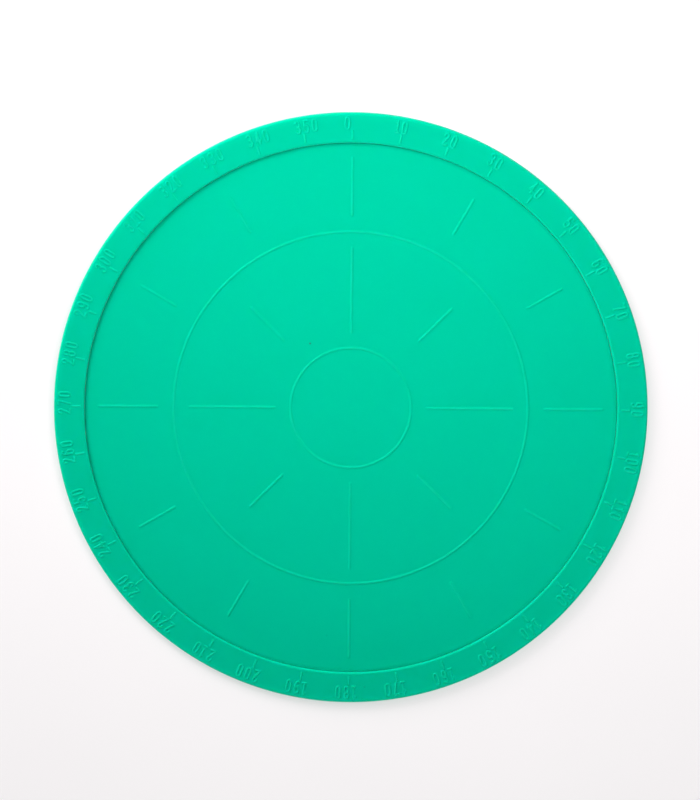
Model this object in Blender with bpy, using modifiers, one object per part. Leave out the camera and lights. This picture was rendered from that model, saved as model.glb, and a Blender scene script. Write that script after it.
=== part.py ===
"""A round self-healing craft mat with a raised rim that carries a 0 to 350 degree scale.

The mat lies on the XY plane: its underside is at z = 0 and its centre is on the Z axis.
Seen from above, 0 degrees points along +Y and the scale runs clockwise, so 90 is at +X.
The body is five bonded plies: a soft face and a soft base outside, a cushion inside each of
them, and a stiff core in the middle. The rim is moulded round the plies and its inner groove
grips the edge of the core. Lengths are in metres and angles in degrees.
"""

import math

import bmesh
import bpy
from mathutils import Matrix, Vector

# Plan, from the outside inwards.
OUTER_RADIUS = 0.150
RIM_WIDTH = 0.0154
FIELD_RADIUS = OUTER_RADIUS - RIM_WIDTH
OUTER_RING_RADIUS = 0.0895
INNER_RING_RADIUS = 0.0304
GROOVE_DEPTH = 0.004

# Thicknesses of the plies, from the table upwards, and the bond line between them.
BASE_THICKNESS = 0.0004
CUSHION_THICKNESS = 0.0002
CORE_THICKNESS = 0.0004
FACE_THICKNESS = 0.0006
BOND_GAP = 0.0002
RIM_GAP = 0.0003

# Heights that follow from the plies.
LOWER_CUSHION_Z = BASE_THICKNESS + BOND_GAP
CORE_Z = LOWER_CUSHION_Z + CUSHION_THICKNESS + BOND_GAP
UPPER_CUSHION_Z = CORE_Z + CORE_THICKNESS + BOND_GAP
FACE_Z = UPPER_CUSHION_Z + CUSHION_THICKNESS + BOND_GAP
FIELD_HEIGHT = FACE_Z + FACE_THICKNESS
RIM_RISE = 0.0016
RIM_HEIGHT = FIELD_HEIGHT + RIM_RISE

# Edges of the rim.
OUTER_ROUND_WIDTH = 0.0018
OUTER_ROUND_DROP = 0.0016
INNER_ROUND_WIDTH = 0.0013
INNER_ROUND_DROP = 0.0010
FOOT_CHAMFER = 0.0005

# Moulded relief.
RELIEF = 0.0003
RELIEF_ROOT = 0.0003
RIB_WIDTH = 0.0011
OUTER_BARS = 12
OUTER_BAR_RADIUS = 0.75 * OUTER_RADIUS
OUTER_BAR_LONG = 0.030
OUTER_BAR_SHORT = 0.021
INNER_BARS = 8
INNER_BAR_RADIUS = 0.4 * OUTER_RADIUS
INNER_BAR_LONG = 0.044
INNER_BAR_SHORT = 0.024

# The degree scale.
SCALE_STEP = 10
TICK_WIDTH = 0.00095
TICK_INNER_RADIUS = 0.1365
TICK_LENGTH = 0.0047
DIGIT_BASE_RADIUS = 0.1415
DIGIT_HEIGHT = 0.0067
DIGIT_WIDTH = 0.0029
STROKE_WIDTH = 0.0009
DIGIT_ROOT = 0.0005
FIRST_DIGIT_ANGLE = -1.05
DIGIT_PITCH_ANGLE = 1.70
PITCH_AFTER_ONE_ANGLE = 1.48

# Fineness of the round shapes.
TURN_STEPS = 96
OUTER_ROUND_STEPS = 3
INNER_ROUND_STEPS = 3
ARC_STEP_ANGLE = 60

TEAL = (0.004, 0.610, 0.385)
CUSHION_TEAL = (0.010, 0.430, 0.290)
BASE_TEAL = (0.006, 0.480, 0.320)
CORE_WHITE = (0.780, 0.800, 0.780)


def clear_scene():
    for existing in list(bpy.data.objects):
        bpy.data.objects.remove(existing, do_unlink=True)


def new_collection(name):
    collection = bpy.data.collections.new(name)
    bpy.context.scene.collection.children.link(collection)
    return collection


def new_material(name, colour, roughness):
    material = bpy.data.materials.new(name)
    material.use_nodes = True
    shader = material.node_tree.nodes["Principled BSDF"]
    shader.inputs["Base Color"].default_value = (*colour, 1.0)
    shader.inputs["Roughness"].default_value = roughness
    shader.inputs["Metallic"].default_value = 0.0
    material.diffuse_color = (*colour, 1.0)
    return material


def new_object(name, data, collection):
    made = bpy.data.objects.new(name, data)
    collection.objects.link(made)
    return made


def shade_round(mesh):
    mesh.shade_smooth()
    mesh.set_sharp_from_angle(angle=math.radians(35))


# Solids


def disc(name, radius, bottom, thickness, collection):
    """A flat round ply whose underside is at the height given as bottom."""
    mesh = bpy.data.meshes.new(name)
    solid = bmesh.new()
    bmesh.ops.create_cone(
        solid,
        cap_ends=True,
        segments=TURN_STEPS,
        radius1=radius,
        radius2=radius,
        depth=thickness,
    )
    solid.to_mesh(mesh)
    solid.free()
    shade_round(mesh)
    ply = new_object(name, mesh, collection)
    ply.location.z = bottom + thickness / 2
    return ply


def turned(name, profile, collection, closed):
    """A body of revolution about Z. The profile is radius and height, down its outer side."""
    mesh = bpy.data.meshes.new(name)
    outline = bmesh.new()
    points = [outline.verts.new((radius, 0, height)) for radius, height in profile]
    for first, second in zip(points, points[1:]):
        outline.edges.new((first, second))
    if closed:
        outline.edges.new((points[-1], points[0]))
    outline.to_mesh(mesh)
    outline.free()
    body = new_object(name, mesh, collection)
    screw = body.modifiers.new("turn", "SCREW")
    screw.axis = "Z"
    screw.steps = TURN_STEPS
    screw.render_steps = TURN_STEPS
    screw.use_merge_vertices = True
    screw.merge_threshold = 0.00001
    screw.use_smooth_shade = False
    return body


def bar(width, length, inner_radius, bottom, top, angle):
    """A radial bar as a mesh: clockwise of +Y by the angle, from the inner radius outwards."""
    solid = bmesh.new()
    bmesh.ops.create_cube(solid, size=1.0)
    size = Matrix.Diagonal((width, length, top - bottom, 1.0))
    place = Matrix.Translation((0, inner_radius + length / 2, (top + bottom) / 2))
    solid.transform(clockwise(angle) @ place @ size)
    mesh = bpy.data.meshes.new("bar")
    solid.to_mesh(mesh)
    solid.free()
    return mesh


def clockwise(angle):
    return Matrix.Rotation(-math.radians(angle), 4, "Z")


def joined(name, meshes, collection):
    """One hidden tool object that holds all the meshes as separate solids."""
    gathered = bmesh.new()
    for mesh in meshes:
        gathered.from_mesh(mesh)
        bpy.data.meshes.remove(mesh)
    mesh = bpy.data.meshes.new(name)
    gathered.to_mesh(mesh)
    gathered.free()
    tool = new_object(name, mesh, collection)
    tool.hide_render = True
    tool.display_type = "WIRE"
    return tool


def fuse(body, tool):
    union = body.modifiers.new("relief", "BOOLEAN")
    union.operation = "UNION"
    union.solver = "EXACT"
    union.use_self = True
    union.object = tool


# Digits: strokes along centre lines, on a cell one unit tall whose half width is one.


def arc(centre_x, centre_y, half_width, half_height, start, end):
    """Points on an ellipse's arc, with the angles anticlockwise from +X."""
    steps = max(1, round(abs(end - start) / ARC_STEP_ANGLE))
    points = []
    for step in range(steps + 1):
        angle = math.radians(start + (end - start) * step / steps)
        x = centre_x + half_width * math.cos(angle)
        y = centre_y + half_height * math.sin(angle)
        points.append((x, y))
    return points


def loop(bottom, top, end_height):
    """A tall oval between two heights: two straight sides closed by two elliptical ends."""
    upper = arc(0, top - end_height, 1, end_height, 0, 180)
    lower = arc(0, bottom + end_height, 1, end_height, 180, 360)
    return upper + lower


def digit_strokes(digit):
    """The centre lines of a digit, each with True where it closes on itself."""
    if digit == "0":
        return [(loop(0, 1, 0.25), True)]
    if digit == "1":
        return [
            ([(0.1, 1), (0.1, 0)], False),
            ([(-0.7, 0.82), (0.1, 0.96)], False),
            ([(-0.6, 0), (0.8, 0)], False),
        ]
    if digit == "2":
        return [(arc(0, 0.77, 1, 0.23, 180, 0) + [(-1, 0), (1, 0)], False)]
    if digit == "3":
        return [
            (arc(0, 0.77, 1, 0.23, 150, -90), False),
            (arc(0, 0.27, 1, 0.27, 90, -150), False),
        ]
    if digit == "4":
        return [
            ([(0.45, 1), (0.45, 0)], False),
            ([(0.35, 0.95), (-0.95, 0.28), (1.1, 0.28)], False),
        ]
    if digit == "5":
        return [
            ([(0.9, 1), (-0.9, 1), (-0.9, 0.56)] + arc(0, 0.3, 1, 0.3, 90, -150), False),
        ]
    if digit == "6":
        return [
            (loop(0, 0.58, 0.25), True),
            (arc(0.1, 0.7, 1.1, 0.3, 60, 180) + [(-1, 0.3)], False),
        ]
    if digit == "7":
        return [([(-1, 1), (1, 1), (-0.3, 0)], False)]
    if digit == "8":
        return [(loop(0, 0.54, 0.24), True), (loop(0.54, 1, 0.22), True)]
    return [
        ([(-x, 1 - y) for x, y in points], closed)
        for points, closed in digit_strokes("6")
    ]


def offset_line(points, distance, closed):
    """The line moved sideways to its left, with mitred corners."""
    moved = []
    count = len(points)
    for index, point in enumerate(points):
        before = points[index - 1] if closed or index > 0 else None
        after = points[(index + 1) % count] if closed or index < count - 1 else None
        normals = []
        for start, end in ((before, point), (point, after)):
            if start is not None and end is not None:
                along = (end - start).normalized()
                normals.append(Vector((-along.y, along.x)))
        middle = sum(normals, Vector((0, 0))).normalized()
        moved.append(point + middle * distance / middle.dot(normals[0]))
    return moved


def stroke_outlines(points, closed):
    """The edge of a stroke round its centre line: one loop, or two for a closed stroke."""
    half = STROKE_WIDTH / 2
    if not closed:
        start_way = (points[1] - points[0]).normalized()
        end_way = (points[-1] - points[-2]).normalized()
        points = [points[0] - start_way * half, *points[1:-1], points[-1] + end_way * half]
    left = offset_line(points, half, closed)
    right = offset_line(points, -half, closed)
    if closed:
        return [left, right]
    return [left + right[::-1]]


def stroke_mesh(centre_line, closed, bottom, top):
    """A flat stroke as a closed mesh, from a filled outline of half its thickness each way."""
    half_width = (DIGIT_WIDTH - STROKE_WIDTH) / 2
    height = DIGIT_HEIGHT - STROKE_WIDTH
    points = [Vector((x * half_width, y * height + STROKE_WIDTH / 2)) for x, y in centre_line]
    curve = bpy.data.curves.new("stroke", "CURVE")
    curve.dimensions = "2D"
    curve.fill_mode = "BOTH"
    curve.extrude = (top - bottom) / 2
    for outline in stroke_outlines(points, closed):
        spline = curve.splines.new("POLY")
        spline.points.add(len(outline) - 1)
        for target, point in zip(spline.points, outline):
            target.co = (point.x, point.y, 0, 1)
        spline.use_cyclic_u = True
    guide = new_object("stroke", curve, bpy.context.scene.collection)
    bpy.context.view_layer.update()
    seen = guide.evaluated_get(bpy.context.evaluated_depsgraph_get())
    mesh = bpy.data.meshes.new_from_object(seen)
    bpy.data.objects.remove(guide, do_unlink=True)
    bpy.data.curves.remove(curve)
    solid = bmesh.new()
    solid.from_mesh(mesh)
    bmesh.ops.remove_doubles(solid, verts=solid.verts, dist=0.000005)
    bmesh.ops.recalc_face_normals(solid, faces=solid.faces)
    solid.transform(Matrix.Translation((0, 0, (top + bottom) / 2)))
    solid.to_mesh(mesh)
    solid.free()
    return mesh


def label_meshes(value, glyphs):
    """The digits of one label, each turned to stand on the rim with its top outwards."""
    meshes = []
    angle = value + FIRST_DIGIT_ANGLE
    for digit in str(value):
        place = clockwise(angle) @ Matrix.Translation((0, DIGIT_BASE_RADIUS, 0))
        for glyph in glyphs[digit]:
            mesh = glyph.copy()
            mesh.transform(place)
            meshes.append(mesh)
        angle += PITCH_AFTER_ONE_ANGLE if digit == "1" else DIGIT_PITCH_ANGLE
    return meshes


# Pieces of the mat


def rim_profile():
    """The rim's section, from its inner top edge outwards, down, in under it and up again."""
    round_start = OUTER_RADIUS - OUTER_ROUND_WIDTH
    points = []
    for step in range(OUTER_ROUND_STEPS + 1):
        angle = math.radians(90 * step / OUTER_ROUND_STEPS)
        radius = round_start + OUTER_ROUND_WIDTH * math.sin(angle)
        height = RIM_HEIGHT - OUTER_ROUND_DROP * (1 - math.cos(angle))
        points.append((radius, height))
    points.append((OUTER_RADIUS, FOOT_CHAMFER))
    points.append((OUTER_RADIUS - FOOT_CHAMFER, 0))
    points.append((FIELD_RADIUS, 0))
    groove_bottom = CORE_Z - BOND_GAP
    groove_top = CORE_Z + CORE_THICKNESS + BOND_GAP
    points.append((FIELD_RADIUS, groove_bottom))
    points.append((FIELD_RADIUS + GROOVE_DEPTH, groove_bottom))
    points.append((FIELD_RADIUS + GROOVE_DEPTH, groove_top))
    points.append((FIELD_RADIUS, groove_top))
    for step in range(INNER_ROUND_STEPS + 1):
        angle = math.radians(90 * step / INNER_ROUND_STEPS)
        radius = FIELD_RADIUS + INNER_ROUND_WIDTH * (1 - math.cos(angle))
        height = RIM_HEIGHT - INNER_ROUND_DROP * (1 - math.sin(angle))
        points.append((radius, height))
    return points


def make_rim(parts, cutters, material):
    rim = turned("rim_ring", rim_profile(), parts, closed=True)
    top = RIM_HEIGHT + RELIEF
    glyphs = {}
    for digit in "0123456789":
        strokes = digit_strokes(digit)
        bottom = RIM_HEIGHT - DIGIT_ROOT
        glyphs[digit] = [stroke_mesh(line, closed, bottom, top) for line, closed in strokes]
    marks = []
    for value in range(0, 360, SCALE_STEP):
        bottom = RIM_HEIGHT - RELIEF_ROOT
        marks.append(bar(TICK_WIDTH, TICK_LENGTH, TICK_INNER_RADIUS, bottom, top, value))
        marks.extend(label_meshes(value, glyphs))
    fuse(rim, joined("rim_scale", marks, cutters))
    rim.data.materials.append(material)


def face_profile():
    """The top ply's section from its centre outwards, with the two raised rings on it."""
    points = [(0, FIELD_HEIGHT)]
    for radius in (INNER_RING_RADIUS, OUTER_RING_RADIUS):
        inner = radius - RIB_WIDTH / 2
        outer = radius + RIB_WIDTH / 2
        points.append((inner, FIELD_HEIGHT))
        points.append((inner, FIELD_HEIGHT + RELIEF))
        points.append((outer, FIELD_HEIGHT + RELIEF))
        points.append((outer, FIELD_HEIGHT))
    edge = FIELD_RADIUS - RIM_GAP
    points.append((edge, FIELD_HEIGHT))
    points.append((edge, FACE_Z))
    points.append((0, FACE_Z))
    return points


def bar_meshes(count, middle_radius, long, short):
    """Radial bars at even angles: long ones at the quarter turns and short ones between."""
    meshes = []
    for index in range(count):
        angle = 360 * index / count
        length = long if index % (count // 4) == 0 else short
        inner = middle_radius - length / 2
        bottom = FIELD_HEIGHT - RELIEF_ROOT
        meshes.append(bar(RIB_WIDTH, length, inner, bottom, FIELD_HEIGHT + RELIEF, angle))
    return meshes


def make_face(parts, cutters, material):
    face = turned("cutting_face", face_profile(), parts, closed=False)
    bars = bar_meshes(OUTER_BARS, OUTER_BAR_RADIUS, OUTER_BAR_LONG, OUTER_BAR_SHORT)
    bars += bar_meshes(INNER_BARS, INNER_BAR_RADIUS, INNER_BAR_LONG, INNER_BAR_SHORT)
    fuse(face, joined("face_bars", bars, cutters))
    face.data.materials.append(material)


def make_plies(parts):
    cushion = new_material("cushion_soft", CUSHION_TEAL, 0.70)
    core = new_material("core_hard", CORE_WHITE, 0.35)
    base = new_material("base_soft", BASE_TEAL, 0.65)
    inside = FIELD_RADIUS - RIM_GAP
    core_radius = FIELD_RADIUS + GROOVE_DEPTH - RIM_GAP
    plies = (
        ("base_face", inside, 0, BASE_THICKNESS, base),
        ("lower_cushion_ply", inside, LOWER_CUSHION_Z, CUSHION_THICKNESS, cushion),
        ("stiff_core_ply", core_radius, CORE_Z, CORE_THICKNESS, core),
        ("upper_cushion_ply", inside, UPPER_CUSHION_Z, CUSHION_THICKNESS, cushion),
    )
    for name, radius, bottom, thickness, material in plies:
        ply = disc(name, radius, bottom, thickness, parts)
        ply.data.materials.append(material)


def main():
    clear_scene()
    parts = new_collection("self_healing_mat")
    cutters = new_collection("cutters")
    moulded = new_material("moulded_teal", TEAL, 0.55)
    make_plies(parts)
    make_face(parts, cutters, moulded)
    make_rim(parts, cutters, moulded)


main()
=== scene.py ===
"""The looks of the round self-healing mat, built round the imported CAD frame.

The rim and the cutting face are remade as fine moulded surfaces: every tick, digit, ring and bar
is soft-edged relief in one closed skin. The plan is drawn in millimetres, seen from above, with
0 degrees along +Y and angles clockwise, and it is scaled to metres when a mesh is made.
"""

import math

import bmesh
import bpy
import numpy as np
from mathutils import Matrix, Vector
from mathutils.geometry import delaunay_2d_cdt


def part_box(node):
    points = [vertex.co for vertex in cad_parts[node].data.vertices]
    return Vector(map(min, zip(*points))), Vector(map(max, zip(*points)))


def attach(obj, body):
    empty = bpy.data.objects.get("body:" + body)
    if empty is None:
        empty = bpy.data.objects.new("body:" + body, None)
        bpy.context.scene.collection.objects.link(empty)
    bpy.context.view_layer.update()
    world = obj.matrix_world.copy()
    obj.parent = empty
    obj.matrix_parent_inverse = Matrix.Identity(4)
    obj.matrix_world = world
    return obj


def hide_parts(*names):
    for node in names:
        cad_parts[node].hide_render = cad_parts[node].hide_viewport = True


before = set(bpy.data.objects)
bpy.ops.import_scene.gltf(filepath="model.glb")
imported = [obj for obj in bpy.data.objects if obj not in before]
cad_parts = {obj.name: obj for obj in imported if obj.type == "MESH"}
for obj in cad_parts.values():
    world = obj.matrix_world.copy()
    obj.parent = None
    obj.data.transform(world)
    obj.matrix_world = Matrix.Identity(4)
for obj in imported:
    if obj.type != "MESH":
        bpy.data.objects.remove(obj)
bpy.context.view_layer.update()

MM = 0.001
_, rim_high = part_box("rim_ring")
face_low, face_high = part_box("cutting_face")
core_low, core_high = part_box("stiff_core_ply")

# Plan, in millimetres.
OUTER_RADIUS = rim_high.x / MM
SEAM = 0.13
FIELD_RADIUS = face_high.x / MM + 0.3
RING_RADII = (30.4, 89.5)

# Heights, in millimetres.
RELIEF = 0.30
RIM_TOP = rim_high.z / MM - RELIEF
FIELD_TOP = face_high.z / MM - RELIEF
FACE_BOTTOM = face_low.z / MM
CORE_BOTTOM = core_low.z / MM
CORE_TOP = core_high.z / MM

# Sections of the rim's edges.
OUTER_ROUND_WIDTH = 1.3
OUTER_ROUND_DROP = 1.3
INNER_ROUND_WIDTH = 1.3
INNER_ROUND_DROP = 1.0
FOOT_ROUND = 0.5
GROOVE_DEPTH = 4.0
GROOVE_PLAY = 0.2

# Raised marks.
RIB_WIDTH = 1.1
OUTER_BARS = (12, 0.75 * OUTER_RADIUS, 30.0, 21.0)
INNER_BARS = (8, 0.4 * OUTER_RADIUS, 44.0, 24.0)
SCALE_STEP = 10
TICK_WIDTH = 0.95
TICK_SPAN = (136.6, 141.2)
DIGIT_BASE_RADIUS = 141.5
DIGIT_HEIGHT = 6.7
DIGIT_WIDTH = 2.9
STROKE_WIDTH = 0.9
FIRST_DIGIT_ANGLE = -1.05
DIGIT_PITCH_ANGLE = 1.70
PITCH_AFTER_ONE_ANGLE = 1.48

# Half the width of a mark's sloping side in plan, and the steps across that slope.
RIB_SLOPE = 0.46
DIGIT_SLOPE = 0.28
SLOPE_STEPS = (-1.0, -0.6, -0.2, 0.2, 0.6, 1.0)

# The closed skins: the face's rounded edge, and the room that its plain rings of points leave
# round the marks.
FACE_EDGE_ROUND = 0.12
FILLER_STEP = 7.5
FILLER_CLEARANCE = 1.5
ROUNDING_CLEARANCE = 0.9
LABEL_REACH = 16.0

# Fineness.
TURN_STEPS = 720
ARC_STEP_ANGLE = 15
CAP_STEP_ANGLE = 30
STRAIGHT_STEP = 1.2


# Plan drawing


def clockwise(points, angle):
    """Points turned clockwise about the centre, as seen from above."""
    a = math.radians(angle)
    turn = np.array([[math.cos(a), -math.sin(a)], [math.sin(a), math.cos(a)]])
    return np.asarray(points, float) @ turn


def circle(radius, steps=TURN_STEPS):
    angles = 2 * math.pi * np.arange(steps) / steps
    return radius * np.stack([np.sin(angles), np.cos(angles)], axis=1)


def arc(centre_x, centre_y, half_width, half_height, start, end):
    """Points on an ellipse's arc, with the angles anticlockwise from +X."""
    steps = max(2, round(abs(end - start) / ARC_STEP_ANGLE))
    angles = np.radians(np.linspace(start, end, steps + 1))
    x = centre_x + half_width * np.cos(angles)
    y = centre_y + half_height * np.sin(angles)
    return list(zip(x, y))


def loop(bottom, top, end_height):
    """A tall oval between two heights: two straight sides closed by two elliptical ends."""
    upper = arc(0, top - end_height, 1, end_height, 0, 180)
    lower = arc(0, bottom + end_height, 1, end_height, 180, 360)
    return upper + lower


def digit_strokes(digit):
    """The centre lines of a digit on a cell one unit tall and two wide, and if each is closed."""
    if digit == "0":
        return [(loop(0, 1, 0.25), True)]
    if digit == "1":
        return [
            ([(0.1, 1), (0.1, 0)], False),
            ([(-0.7, 0.82), (0.1, 0.96)], False),
            ([(-0.6, 0), (0.8, 0)], False),
        ]
    if digit == "2":
        return [
            (arc(0, 0.77, 1, 0.23, 180, 0) + [(-1, 0)], False),
            ([(-1, 0), (1, 0)], False),
        ]
    if digit == "3":
        return [
            (arc(0, 0.77, 1, 0.23, 150, -90), False),
            (arc(0, 0.27, 1, 0.27, 90, -150), False),
        ]
    if digit == "4":
        return [
            ([(0.45, 1), (0.45, 0)], False),
            ([(0.35, 0.95), (-0.95, 0.28)], False),
            ([(-0.95, 0.28), (1.1, 0.28)], False),
        ]
    if digit == "5":
        return [
            ([(0.9, 1), (-0.9, 1)], False),
            ([(-0.9, 1), (-0.9, 0.56)], False),
            ([(-0.9, 0.56)] + arc(0, 0.3, 1, 0.3, 90, -150), False),
        ]
    if digit == "6":
        return [
            (loop(0, 0.58, 0.25), True),
            (arc(0.1, 0.7, 1.1, 0.3, 60, 180) + [(-1, 0.3)], False),
        ]
    if digit == "7":
        return [([(-1, 1), (1, 1)], False), ([(1, 1), (-0.3, 0)], False)]
    if digit == "8":
        return [(loop(0, 0.54, 0.24), True), (loop(0.54, 1, 0.22), True)]
    return [
        ([(-x, 1 - y) for x, y in points], closed)
        for points, closed in digit_strokes("6")
    ]


def label_strokes(value):
    """The centre lines of one label's digits and of its tick, in plan."""
    strokes = []
    half_width = (DIGIT_WIDTH - STROKE_WIDTH) / 2
    height = DIGIT_HEIGHT - STROKE_WIDTH
    angle = value + FIRST_DIGIT_ANGLE
    for digit in str(value):
        for points, closed in digit_strokes(digit):
            cell = np.array(points) * (half_width, height)
            placed = cell + (0, DIGIT_BASE_RADIUS + STROKE_WIDTH / 2)
            strokes.append((clockwise(placed, angle), closed))
        angle += PITCH_AFTER_ONE_ANGLE if digit == "1" else DIGIT_PITCH_ANGLE
    inner, outer = TICK_SPAN
    tick = [(0, inner + TICK_WIDTH / 2), (0, outer - TICK_WIDTH / 2)]
    strokes.append((clockwise(tick, value), False))
    return strokes


def bar_strokes(count, middle_radius, long, short):
    """Radial bars at even angles: long ones at the quarter turns and short ones between."""
    strokes = []
    for index in range(count):
        half = (long if index % (count // 4) == 0 else short) / 2 - RIB_WIDTH / 2
        line = [(0, middle_radius - half), (0, middle_radius + half)]
        strokes.append((clockwise(line, 360 * index / count), False))
    return strokes


# Relief: how high a mark stands at a distance from its centre line


def subdivided(points, closed):
    """The line with its long straight runs cut into steps."""
    ends = np.vstack([points[1:], points[:1]]) if closed else points[1:]
    result = []
    for start, end in zip(points, ends):
        steps = max(1, math.ceil(np.linalg.norm(end - start) / STRAIGHT_STEP))
        result.extend(start + (end - start) * step / steps for step in range(steps))
    if not closed:
        result.append(points[-1])
    return np.array(result)


def segments(strokes):
    """The start and end points of every straight piece of the strokes."""
    starts, ends = [], []
    for points, closed in strokes:
        starts.append(points if closed else points[:-1])
        ends.append(np.roll(points, -1, axis=0) if closed else points[1:])
    return np.vstack(starts), np.vstack(ends)


def distance_to(strokes):
    """A function that gives each point's distance to the nearest centre line."""
    starts, ends = segments(strokes)
    along = ends - starts
    squared = np.maximum((along**2).sum(axis=1), 1e-12)

    def distance(points):
        away = points[:, None, :] - starts[None]
        share = np.clip((away * along).sum(axis=2) / squared, 0, 1)
        gap = away - share[..., None] * along
        return np.sqrt((gap**2).sum(axis=2).min(axis=1))

    return distance


def rise(distance, half_width, slope):
    """From 1 on a mark's top to 0 at its foot, rounded at both, with a slight crown."""
    t = np.clip((half_width + slope - distance) / (2 * slope), 0, 1)
    side = t * t * (3 - 2 * t)
    crown = 1 - 0.08 * np.clip(distance / half_width, 0, 1) ** 2
    return side * crown


def offset_loops(points, closed, distance):
    """The closed lines that run round a stroke at a distance from its centre line."""
    if closed:
        before = np.roll(points, 1, axis=0)
        after = np.roll(points, -1, axis=0)
    else:
        before = np.vstack([points[:1], points[:-1]])
        after = np.vstack([points[1:], points[-1:]])
    first = unit(points - before)
    second = unit(after - points)
    if not closed:
        first[0] = second[0]
        second[-1] = first[-1]
    middle = unit(first + second)
    mitre = np.maximum((middle * first).sum(axis=1), 0.5)[:, None]
    side = np.stack([-middle[:, 1], middle[:, 0]], axis=1) / mitre * distance
    left, right = points + side, points - side
    if closed:
        return [left, right]
    end = cap(points[-1], second[-1], distance)
    start = cap(points[0], -first[0], distance)
    return [np.vstack([left[:-1], end, right[:-1][::-1][:-1], start])]


def cap(centre, outwards, distance):
    """A half circle round a stroke's end, from its left side to its right."""
    steps = round(180 / CAP_STEP_ANGLE)
    angles = np.radians(np.linspace(90, -90, steps + 1))
    across = np.array([-outwards[1], outwards[0]])
    return centre + distance * (
        np.outer(np.cos(angles), outwards) + np.outer(np.sin(angles), across)
    )


def unit(vectors):
    length = np.linalg.norm(vectors, axis=1, keepdims=True)
    return vectors / np.maximum(length, 1e-9)


class Drawing:
    """Points and edges in plan, to be filled with triangles."""

    def __init__(self):
        self.points = []
        self.edges = []

    def add(self, points, keep=None, closed=True):
        """A run of points. Neighbours that are both kept are joined by an edge."""
        keep = np.ones(len(points), bool) if keep is None else keep
        index = np.where(keep, len(self.points) + np.cumsum(keep) - 1, -1)
        self.points.extend(Vector(point) for point in points[keep])
        last = len(points) if closed else len(points) - 1
        for here in range(last):
            there = (here + 1) % len(points)
            if index[here] >= 0 and index[there] >= 0:
                self.edges.append((int(index[here]), int(index[there])))

    def add_marks(self, strokes, half_width, slope):
        """The contour lines of a group of marks, left out where they run inside another."""
        distance = distance_to(strokes)
        fine = [(subdivided(points, closed), closed) for points, closed in strokes]
        for step in SLOPE_STEPS:
            away = half_width + step * slope
            for points, closed in fine:
                for line in offset_loops(points, closed, away):
                    self.add(line, distance(line) > away - 0.02)
        for points, closed in fine:
            self.add(points, closed=closed)

    def fill(self, inner_radius):
        """Triangles over the drawing, apart from a round hole in the middle."""
        points, _, faces, *_ = delaunay_2d_cdt(self.points, self.edges, [], 0, 1e-5)
        points = np.array(points)
        faces = np.array(faces)
        middle = np.linalg.norm(points[faces].mean(axis=1), axis=1)
        return points, faces[middle > inner_radius]


# Moulded meshes


def turned_strip(profile):
    """Rings of points for a profile of radius and height, and the quads between them."""
    around = circle(1.0)
    rings = [np.column_stack([around * radius, np.full(TURN_STEPS, z)]) for radius, z in profile]
    here = np.arange(TURN_STEPS)
    there = (here + 1) % TURN_STEPS
    quads = []
    for ring in range(len(profile) - 1):
        top, low = ring * TURN_STEPS, (ring + 1) * TURN_STEPS
        quads.append(np.column_stack([top + here, top + there, low + there, low + here]))
    return np.vstack(rings), np.vstack(quads)


def moulded_mesh(name, plan, triangles, height, profile, top_radii):
    """One closed skin: a relief surface over the plan, and a turned profile round the rest."""
    top = np.column_stack([plan, height(plan)])
    sides, quads = turned_strip(profile)
    shape = bmesh.new()
    verts = [shape.verts.new(point * MM) for point in np.vstack([top, sides])]
    for face in triangles:
        shape.faces.new([verts[index] for index in face])
    for face in quads + len(top):
        shape.faces.new([verts[index] for index in face])
    if profile[-1][0] < 1.5:
        last = verts[len(top) + len(sides) - TURN_STEPS :]
        shape.faces.new(last)
    bmesh.ops.remove_doubles(shape, verts=shape.verts, dist=2e-6)
    bmesh.ops.recalc_face_normals(shape, faces=shape.faces)
    mesh = bpy.data.meshes.new(name)
    shape.to_mesh(mesh)
    shape.free()
    mesh.shade_smooth()
    set_relief_normals(mesh, height, top_radii)
    return mesh


def set_relief_normals(mesh, height, top_radii):
    """Normals of the relief surface worked out from its height, so that flats stay flat."""
    count = len(mesh.vertices)
    places = np.empty(count * 3)
    normals = np.empty(count * 3)
    mesh.vertices.foreach_get("co", places)
    mesh.vertex_normals.foreach_get("vector", normals)
    places = places.reshape(-1, 3) / MM
    normals = normals.reshape(-1, 3)
    radius = np.hypot(places[:, 0], places[:, 1])
    low, high = top_radii
    on_top = (radius > low) & (radius < high) & (normals[:, 2] > 0.05)
    plan = places[on_top, :2]
    nudge = 0.01
    slopes = []
    for way in ((nudge, 0), (0, nudge)):
        slopes.append((height(plan + way) - height(plan - way)) / (2 * nudge))
    tilted = np.column_stack([-slopes[0], -slopes[1], np.ones(len(plan))])
    normals[on_top] = unit(tilted)
    mesh.normals_split_custom_set_from_vertices(normals.tolist())


def quarter(centre, half_width, half_height, start, end, steps):
    """Radius and height along part of an ellipse, from one angle to another."""
    angles = np.radians(np.linspace(start, end, steps + 1))
    radius = centre[0] + half_width * np.cos(angles)
    z = centre[1] + half_height * np.sin(angles)
    return list(zip(radius, z))


# Pieces. The relief surface of the rim runs from the end of the inner rounding to part of the way
# down the outer one, and the circles across the outer one carry its curve.

ROUND_START = OUTER_RADIUS - OUTER_ROUND_WIDTH
ROUNDING_CIRCLES = (0.0, 0.4, 0.7, 0.95)
SCALE_EDGE_ANGLE = 30
SCALE_EDGE = ROUND_START + OUTER_ROUND_WIDTH * math.cos(math.radians(SCALE_EDGE_ANGLE))
SCALE_START = FIELD_RADIUS + INNER_ROUND_WIDTH


def rim_surface(radius):
    """Height of the rim's top without its marks: flat, then rounded off to the outside."""
    out = np.clip((radius - ROUND_START) / OUTER_ROUND_WIDTH, 0, 1)
    return RIM_TOP - OUTER_ROUND_DROP * (1 - np.sqrt(1 - out**2))


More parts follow.
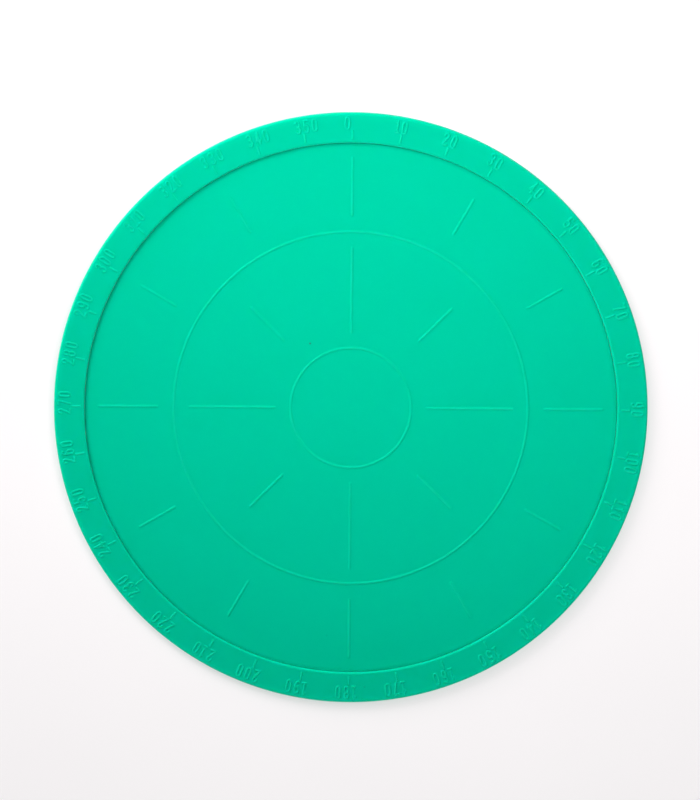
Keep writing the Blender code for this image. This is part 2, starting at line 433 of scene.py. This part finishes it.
def rim_profile():
    """The rim's section from the edge of its scale outwards, down, in and up again."""
    shoulder = (ROUND_START, RIM_TOP - OUTER_ROUND_DROP)
    points = quarter(shoulder, OUTER_ROUND_WIDTH, OUTER_ROUND_DROP, SCALE_EDGE_ANGLE, 0, 8)
    foot = (OUTER_RADIUS - FOOT_ROUND, FOOT_ROUND)
    points.append((OUTER_RADIUS, 1.4))
    points += quarter(foot, FOOT_ROUND, FOOT_ROUND, 0, -90, 5)
    points.append((OUTER_RADIUS - 1.5, 0))
    points.append((FIELD_RADIUS + 0.6, 0))
    points += quarter((FIELD_RADIUS + 0.2, 0.2), 0.2, 0.2, 270, 180, 3)
    groove = FIELD_RADIUS + GROOVE_DEPTH
    points.append((FIELD_RADIUS, CORE_BOTTOM - GROOVE_PLAY))
    points.append((groove, CORE_BOTTOM - GROOVE_PLAY))
    points.append((groove, CORE_TOP + GROOVE_PLAY))
    points.append((FIELD_RADIUS, CORE_TOP + GROOVE_PLAY))
    points.append((FIELD_RADIUS, FIELD_TOP - 0.2))
    crest = (SCALE_START, RIM_TOP - INNER_ROUND_DROP)
    points += quarter(crest, INNER_ROUND_WIDTH, INNER_ROUND_DROP, 180, 90, 12)
    return points


def make_rim():
    """The rim: the scale's relief over its flat top, and its turned section round the rest."""
    labels = {value: label_strokes(value) for value in range(0, 360, SCALE_STEP)}
    drawing = Drawing()
    drawing.add(circle(SCALE_START))
    drawing.add(circle(SCALE_EDGE))
    for beyond in ROUNDING_CIRCLES:
        ring = circle(ROUND_START + beyond)
        clear = np.ones(len(ring), bool)
        for strokes in labels.values():
            near = np.linalg.norm(ring - strokes[-1][0][0], axis=1) < LABEL_REACH
            clear[near] &= distance_to(strokes)(ring[near]) > ROUNDING_CLEARANCE
        drawing.add(ring, clear)
    for strokes in labels.values():
        drawing.add_marks(strokes, STROKE_WIDTH / 2, DIGIT_SLOPE)
    plan, triangles = drawing.fill(SCALE_START - 0.01)
    distances = {value: distance_to(strokes) for value, strokes in labels.items()}

    def height(points):
        radius = np.hypot(points[:, 0], points[:, 1])
        angle = np.degrees(np.arctan2(points[:, 0], points[:, 1]))
        nearest = np.round((angle - 0.5) / SCALE_STEP).astype(int) * SCALE_STEP % 360
        z = rim_surface(radius)
        for value, distance in distances.items():
            mine = nearest == value
            if mine.any():
                z[mine] += RELIEF * rise(distance(points[mine]), STROKE_WIDTH / 2, DIGIT_SLOPE)
        return z

    radii = (SCALE_START - 0.001, SCALE_EDGE + 0.001)
    return moulded_mesh("rim", plan, triangles, height, rim_profile(), radii)


def make_face():
    """The cutting face: a flat field with its rings and bars, and a thin disc under it."""
    edge = FIELD_RADIUS - SEAM
    flat_edge = edge - FACE_EDGE_ROUND
    bars = bar_strokes(*OUTER_BARS) + bar_strokes(*INNER_BARS)
    bar_distance = distance_to(bars)
    half = RIB_WIDTH / 2
    drawing = Drawing()
    drawing.add(circle(flat_edge))
    drawing.add(circle(flat_edge - 0.5))
    drawing.add_marks(bars, half, RIB_SLOPE)
    for ring_radius in RING_RADII:
        drawing.add(circle(ring_radius))
        for step in SLOPE_STEPS:
            drawing.add(circle(ring_radius + half + step * RIB_SLOPE))
            drawing.add(circle(ring_radius - half - step * RIB_SLOPE))
    for radius in np.arange(FILLER_STEP, edge - 4, FILLER_STEP):
        ring = circle(radius, 6 * round(radius / FILLER_STEP))
        clear = bar_distance(ring) > FILLER_CLEARANCE
        for ring_radius in RING_RADII:
            clear &= abs(radius - ring_radius) > FILLER_CLEARANCE
        drawing.add(ring, clear)
    plan, triangles = drawing.fill(0)

    def height(points):
        radius = np.hypot(points[:, 0], points[:, 1])
        high = rise(bar_distance(points), half, RIB_SLOPE)
        for ring_radius in RING_RADII:
            high = np.maximum(high, rise(abs(radius - ring_radius), half, RIB_SLOPE))
        return FIELD_TOP + RELIEF * high

    corner = (flat_edge, FIELD_TOP - FACE_EDGE_ROUND)
    profile = quarter(corner, FACE_EDGE_ROUND, FACE_EDGE_ROUND, 90, 0, 3)
    profile.append((edge, FACE_BOTTOM + 0.1))
    profile.append((edge - 0.1, FACE_BOTTOM))
    profile.append((edge - 1.0, FACE_BOTTOM))
    profile.append((1.0, FACE_BOTTOM))
    radii = (-1, flat_edge + 0.001)
    return moulded_mesh("face", plan, triangles, height, profile, radii)


def make_ply(node):
    """A flat round ply with softened edges, in the space of its CAD node."""
    low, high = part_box(node)
    radius, bottom, top = high.x / MM, low.z / MM, high.z / MM
    soft = 0.12
    edge = radius - soft
    profile = [(1.0, top), (0.4 * radius, top), (0.8 * radius, top), (edge - 0.3, top)]
    profile += quarter((edge, top - soft), soft, soft, 90, 0, 3)
    profile += quarter((edge, bottom + soft), soft, soft, 0, -90, 3)
    profile += [(edge - 0.3, bottom), (0.8 * radius, bottom), (0.4 * radius, bottom), (1.0, bottom)]
    points, quads = turned_strip(profile)
    mesh = bpy.data.meshes.new(node)
    last = len(points) - TURN_STEPS
    caps = [list(range(TURN_STEPS)), list(range(last, last + TURN_STEPS))]
    mesh.from_pydata((points * MM).tolist(), [], quads.tolist() + caps)
    shape = bmesh.new()
    shape.from_mesh(mesh)
    bmesh.ops.recalc_face_normals(shape, faces=shape.faces)
    shape.to_mesh(mesh)
    shape.free()
    mesh.shade_smooth()
    mesh.set_sharp_from_angle(angle=math.radians(40))
    return mesh


# Materials: everything is in object coordinates, which are the world's metres here


class Shader:
    """A Principled material, with short calls for the texture nodes used on this mat."""

    def __init__(self, name, roughness, specular, tint):
        self.material = bpy.data.materials.new(name)
        self.material.use_nodes = True
        self.tree = self.material.node_tree
        self.principled = self.tree.nodes["Principled BSDF"]
        self.principled.inputs["Roughness"].default_value = roughness
        self.principled.inputs["Specular IOR Level"].default_value = specular
        self.principled.inputs["Specular Tint"].default_value = (*tint, 1)
        self.place = self.tree.nodes.new("ShaderNodeTexCoord").outputs["Object"]

    def node(self, kind, settings=None, **inputs):
        made = self.tree.nodes.new(kind)
        for key, value in (settings or {}).items():
            setattr(made, key, value)
        for key, value in inputs.items():
            self.feed(made.inputs[key.replace("_", " ")], value)
        return made

    def feed(self, socket, value):
        if isinstance(value, bpy.types.NodeSocket):
            self.tree.links.new(value, socket)
        else:
            socket.default_value = value

    def noise(self, per_metre, detail=2.0, distortion=0.0):
        made = self.node("ShaderNodeTexNoise", Vector=self.place, Scale=per_metre, Detail=detail)
        made.inputs["Distortion"].default_value = distortion
        return made.outputs["Fac"]

    def cells(self, per_metre):
        made = self.node("ShaderNodeTexVoronoi", Vector=self.place, Scale=per_metre)
        made.feature = "SMOOTH_F1"
        made.inputs["Smoothness"].default_value = 0.6
        return made.outputs["Distance"]

    def between(self, value, low, high, out_low=0.0, out_high=1.0):
        """The value's share of the way from low to high, smoothed, on another range."""
        settings = {"interpolation_type": "SMOOTHSTEP"}
        made = self.node("ShaderNodeMapRange", settings, Value=value)
        made.inputs["From Min"].default_value = low
        made.inputs["From Max"].default_value = high
        made.inputs["To Min"].default_value = out_low
        made.inputs["To Max"].default_value = out_high
        return made.outputs["Result"]

    def math(self, operation, first, second):
        made = self.node("ShaderNodeMath", {"operation": operation})
        self.feed(made.inputs[0], first)
        self.feed(made.inputs[1], second)
        return made.outputs["Value"]

    def mix(self, share, first, second):
        made = self.node("ShaderNodeMix", {"data_type": "RGBA"})
        self.feed(made.inputs["Factor"], share)
        for socket, colour in ((made.inputs[6], first), (made.inputs[7], second)):
            self.feed(socket, colour if isinstance(colour, bpy.types.NodeSocket) else (*colour, 1))
        return made.outputs[2]

    def height(self):
        return self.node("ShaderNodeSeparateXYZ", Vector=self.place).outputs["Z"]

    def radius(self):
        made = self.node("ShaderNodeVectorMath", {"operation": "LENGTH"})
        self.feed(made.inputs[0], self.place)
        return made.outputs["Value"]

    def spot(self, centre, radius):
        """One inside a small soft-edged spot on the mat, and zero outside it."""
        made = self.node("ShaderNodeVectorMath", {"operation": "DISTANCE"})
        self.feed(made.inputs[0], self.place)
        made.inputs[1].default_value = centre
        return self.between(made.outputs["Value"], 0.55 * radius, 1.25 * radius, 1, 0)

    def finish(self, colour, roughness, *bumps):
        """Links the colour and roughness, and a chain of bumps as height and depth in metres."""
        self.feed(self.principled.inputs["Base Color"], colour)
        self.feed(self.principled.inputs["Roughness"], roughness)
        normal = None
        for height, depth in bumps:
            made = self.node("ShaderNodeBump", Height=height, Distance=depth)
            if normal is not None:
                self.feed(made.inputs["Normal"], normal)
            normal = made.outputs["Normal"]
        self.feed(self.principled.inputs["Normal"], normal)
        return self.material


# The moulded teal, and its shades where it is mottled or rubbed, with a painted highlight on the relief's
# tops, painted light towards the thin lip and painted shade in the field's corner.
TEAL = (0.0, 0.480, 0.297)
TEAL_DEEP = (0.0, 0.470, 0.292)
TEAL_PALE = (0.0, 0.500, 0.316)
TEAL_WORN_AND_HIGHLIGHT = (0.010, 0.530, 0.345)
TEAL_LIP_PAINTED_GLOW = (0.0, 0.530, 0.329)
TEAL_TONE_AND_PAINTED_SHADE = (0.0, 0.270, 0.170)
LIP_GLOW_START = 145.8
CORNER_SHADE_START = FIELD_RADIUS - 2.2
RIM_SHADE = 0.04

# Each speck's x, y and radius, and how strong it is.
SPECK = (0.030, 0.110, 0.080)
SPECKS = ((-20.8, 32.6, 0.55, 0.65), (-11.3, -116.0, 0.35, 0.25), (8.0, -142.0, 0.5, 0.22))


def moulded_material(name, surface, scatter):
    """The soft moulded skin. The relief's tops stand above the given height; they are rubbed, and a
    painted highlight lightens them.

    A painted glow makes it paler towards the rim's thin outer lip, standing in for the light that
    comes through there. The field has painted shade in the corner at its edge, and the rim is a
    shade darker than the field.
    """
    shader = Shader(name, 0.5, 0.12, (0.0, 0.9, 0.65))
    inputs = shader.principled.inputs
    inputs["Subsurface Weight"].default_value = 1.0
    inputs["Subsurface Radius"].default_value = (0.2, 1.0, 0.7)
    inputs["Subsurface Scale"].default_value = scatter * MM
    cloud = shader.between(shader.noise(14, 2.0, 0.6), 0.35, 0.65)
    fleck = shader.between(shader.noise(900, 3.0), 0.40, 0.68)
    colour = shader.mix(shader.math("MULTIPLY", cloud, 0.25), TEAL, TEAL_DEEP)
    colour = shader.mix(shader.math("MULTIPLY", fleck, 0.22), colour, TEAL_PALE)
    top = shader.between(shader.height(), (surface + 0.16) * MM, (surface + 0.29) * MM)
    patchy = shader.between(shader.noise(160, 3.0), 0.38, 0.62, 0.05, 0.30)
    # Rubbed wear and painted highlight: the relief's tops are mixed, in patches, towards a paler teal.
    colour = shader.mix(shader.math("MULTIPLY", top, patchy), colour, TEAL_WORN_AND_HIGHLIGHT)
    # Painted light: the colour turns paler towards the rim's thin outer lip, standing in for light that
    # comes through the thin edge.
    lip_glow = shader.between(shader.radius(), LIP_GLOW_START * MM, OUTER_RADIUS * MM)
    colour = shader.mix(lip_glow, colour, TEAL_LIP_PAINTED_GLOW)
    if surface == RIM_TOP:
        colour = shader.mix(RIM_SHADE, colour, TEAL_TONE_AND_PAINTED_SHADE)
    else:
        # Painted shade: the field darkens, in patches, towards the corner at the foot of the rim's inner
        # wall.
        painted_shade_strength = shader.between(shader.noise(70, 3.0), 0.35, 0.65, 0.42, 0.54)
        corner = shader.between(shader.radius(), CORNER_SHADE_START * MM, FIELD_RADIUS * MM)
        colour = shader.mix(shader.math("MULTIPLY", corner, painted_shade_strength), colour, TEAL_TONE_AND_PAINTED_SHADE)
    for x, y, radius, strength in SPECKS:
        share = shader.spot((x * MM, y * MM, surface * MM), radius * MM)
        colour = shader.mix(shader.math("MULTIPLY", share, strength), colour, SPECK)
    handled = shader.between(shader.noise(45, 4.0, 1.2), 0.42, 0.62, 0.0, 0.07)
    roughness = shader.math("SUBTRACT", shader.between(shader.noise(2600), 0.3, 0.7, 0.50, 0.58), handled)
    roughness = shader.math("SUBTRACT", roughness, shader.math("MULTIPLY", top, 0.08))
    grain = shader.noise(5200, 2.0)
    ripple = shader.noise(240, 2.0)
    return shader.finish(colour, roughness, (ripple, 0.00001), (grain, 0.000008))


def base_material():
    """The underside: matt and finely pebbled, so that it grips the table."""
    shader = Shader("base_soft", 0.7, 0.25, (0.3, 0.9, 0.7))
    pebble = shader.cells(1100)
    cloud = shader.between(shader.noise(30, 4.0), 0.35, 0.65)
    colour = shader.mix(cloud, (0.003, 0.300, 0.190), (0.002, 0.270, 0.168))
    # Painted shade: the pebbles' valleys are coloured darker.
    valley_shade = shader.between(pebble, 0.35, 0.75, 0.0, 0.45)
    colour = shader.mix(valley_shade, colour, (0.001, 0.190, 0.118))
    dust = shader.between(shader.noise(420, 4.0), 0.60, 0.78, 0.0, 0.10)
    colour = shader.mix(dust, colour, (0.330, 0.420, 0.390))
    roughness = shader.between(pebble, 0.1, 0.7, 0.62, 0.82)
    return shader.finish(colour, roughness, (pebble, -0.00006), (shader.noise(6000), 0.00001))


def cushion_material():
    """The soft plies inside: fine closed-cell foam rubber."""
    shader = Shader("cushion_soft", 0.8, 0.2, (0.5, 0.9, 0.8))
    cell = shader.cells(2600)
    cloud = shader.between(shader.noise(60, 3.0), 0.35, 0.65)
    colour = shader.mix(cloud, (0.010, 0.300, 0.200), (0.008, 0.260, 0.172))
    # Painted shade: the low parts between the foam's cells are coloured darker.
    colour = shader.mix(shader.between(cell, 0.3, 0.7, 0.0, 0.5), colour, (0.004, 0.170, 0.110))
    roughness = shader.between(cell, 0.1, 0.7, 0.72, 0.92)
    return shader.finish(colour, roughness, (cell, -0.00005), (shader.noise(9000), 0.00001))


def core_material():
    """The stiff ply: an off-white hard sheet with a fine satin grain and faint scuffs."""
    shader = Shader("core_hard", 0.4, 0.5, (1, 1, 1))
    cloud = shader.between(shader.noise(22, 3.0), 0.35, 0.65)
    colour = shader.mix(cloud, (0.700, 0.720, 0.690), (0.660, 0.680, 0.655))
    scuff = shader.between(shader.noise(310, 5.0, 3.0), 0.58, 0.72, 0.0, 0.30)
    colour = shader.mix(scuff, colour, (0.560, 0.580, 0.550))
    roughness = shader.between(shader.noise(1500, 3.0), 0.3, 0.7, 0.30, 0.46)
    return shader.finish(colour, roughness, (shader.noise(3800, 3.0), 0.000012))


def place(name, mesh, node, material):
    piece = bpy.data.objects.new(name, mesh)
    bpy.context.scene.collection.objects.link(piece)
    mesh.materials.append(material)
    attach(piece, "root")
    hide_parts(node)
    return piece


rim_skin = moulded_material("moulded_rim", RIM_TOP, 0.7)
place("rim_moulding", make_rim(), "rim_ring", rim_skin)
field_skin = moulded_material("moulded_field", FIELD_TOP, 0.35)
place("face_moulding", make_face(), "cutting_face", field_skin)
cushion = cushion_material()
place("base_sheet", make_ply("base_face"), "base_face", base_material())
place("lower_cushion", make_ply("lower_cushion_ply"), "lower_cushion_ply", cushion)
place("core_sheet", make_ply("stiff_core_ply"), "stiff_core_ply", core_material())
place("upper_cushion", make_ply("upper_cushion_ply"), "upper_cushion_ply", cushion)

# Stage. The floor lies just under the mat, so that their two flat faces don't share one plane.

FLOOR_DROP = 0.02
FLOOR_HALF_WIDTH = 6
FLOOR_GLOW = 0.57


def make_floor():
    mesh = bpy.data.meshes.new("floor")
    sheet = bmesh.new()
    bmesh.ops.create_grid(sheet, x_segments=1, y_segments=1, size=FLOOR_HALF_WIDTH)
    sheet.to_mesh(mesh)
    sheet.free()
    floor = bpy.data.objects.new("floor", mesh)
    floor.location.z = -FLOOR_DROP * MM
    bpy.context.scene.collection.objects.link(floor)
    paper = Shader("floor_paper", 0.6, 0.2, (1, 1, 1))
    tone = paper.between(paper.noise(9, 3.0), 0.3, 0.7)
    colour = paper.mix(tone, (0.354, 0.328, 0.336), (0.346, 0.320, 0.328))
    paper.principled.inputs["Emission Color"].default_value = (1, 1, 1, 1)
    paper.principled.inputs["Emission Strength"].default_value = FLOOR_GLOW
    rough = paper.between(paper.noise(700), 0.3, 0.7, 0.55, 0.65)
    mesh.materials.append(paper.finish(colour, rough, (paper.noise(1800), 0.00001)))
    return floor


def make_sky(horizon, zenith, band_height):
    """A white world, brighter at the horizon than above it."""
    world = bpy.data.worlds.new("studio")
    bpy.context.scene.world = world
    world.use_nodes = True
    sky = world.node_tree
    direction = sky.nodes.new("ShaderNodeTexCoord").outputs["Generated"]
    split = sky.nodes.new("ShaderNodeSeparateXYZ")
    sky.links.new(direction, split.inputs["Vector"])
    band = sky.nodes.new("ShaderNodeMapRange")
    band.interpolation_type = "SMOOTHERSTEP"
    band.inputs["From Max"].default_value = band_height
    band.inputs["To Min"].default_value = horizon
    band.inputs["To Max"].default_value = zenith
    sky.links.new(split.outputs["Z"], band.inputs["Value"])
    sky.nodes["Background"].inputs["Color"].default_value = (1, 1, 1, 1)
    sky.links.new(band.outputs["Result"], sky.nodes["Background"].inputs["Strength"])


def softbox(name, azimuth, elevation, distance, size, radiance):
    """A rectangular light aimed at the mat. The azimuth is clockwise from +Y."""
    data = bpy.data.lights.new(name, "AREA")
    data.shape = "RECTANGLE"
    data.size, data.size_y = size
    data.energy = radiance * math.pi * size[0] * size[1]
    light = bpy.data.objects.new(name, data)
    bpy.context.scene.collection.objects.link(light)
    around, up = math.radians(azimuth), math.radians(elevation)
    flat = math.cos(up)
    light.location = distance * Vector((flat * math.sin(around), flat * math.cos(around), math.sin(up)))
    light.rotation_euler = (-light.location).to_track_quat("-Z", "Y").to_euler()
    light.visible_camera = False
    return light


make_floor()
make_sky(1.6, 0.10, 0.22)
softbox("overhead", 0, 58, 0.33, (0.32, 0.26), 3.22)
softbox("window", 312, 26, 1.2, (0.9, 0.6), 10.0)
softbox("side", 85, 60, 0.6, (0.3, 0.3), 4.5)
softbox("front_card", 180, 3.5, 1.2, (0.7, 0.12), 19)

# Camera: far off with a long lens, and leaning to the mat's far side as the photo's does

TILT = math.radians(-6.6)
ROLL = math.radians(0.44)
DISTANCE = 8.0
PICTURE_WIDTH = 0.3537
MAT_OFFSET = (0.00044, 0.00402)
SENSOR_WIDTH = 36

camera_data = bpy.data.cameras.new("camera")
camera_data.sensor_width = SENSOR_WIDTH
camera_data.sensor_fit = "HORIZONTAL"
camera_data.lens = SENSOR_WIDTH * DISTANCE / PICTURE_WIDTH
camera = bpy.data.objects.new("camera", camera_data)
bpy.context.scene.collection.objects.link(camera)
target = Vector((-MAT_OFFSET[0], MAT_OFFSET[1], FIELD_TOP * MM))
away = Vector((0, -math.sin(TILT), math.cos(TILT)))
camera.matrix_world = (
    Matrix.Translation(target + away * DISTANCE)
    @ Matrix.Rotation(TILT, 4, "X")
    @ Matrix.Rotation(ROLL, 4, "Z")
)
bpy.context.scene.camera = camera
bpy.context.scene.view_settings.view_transform = "Standard"
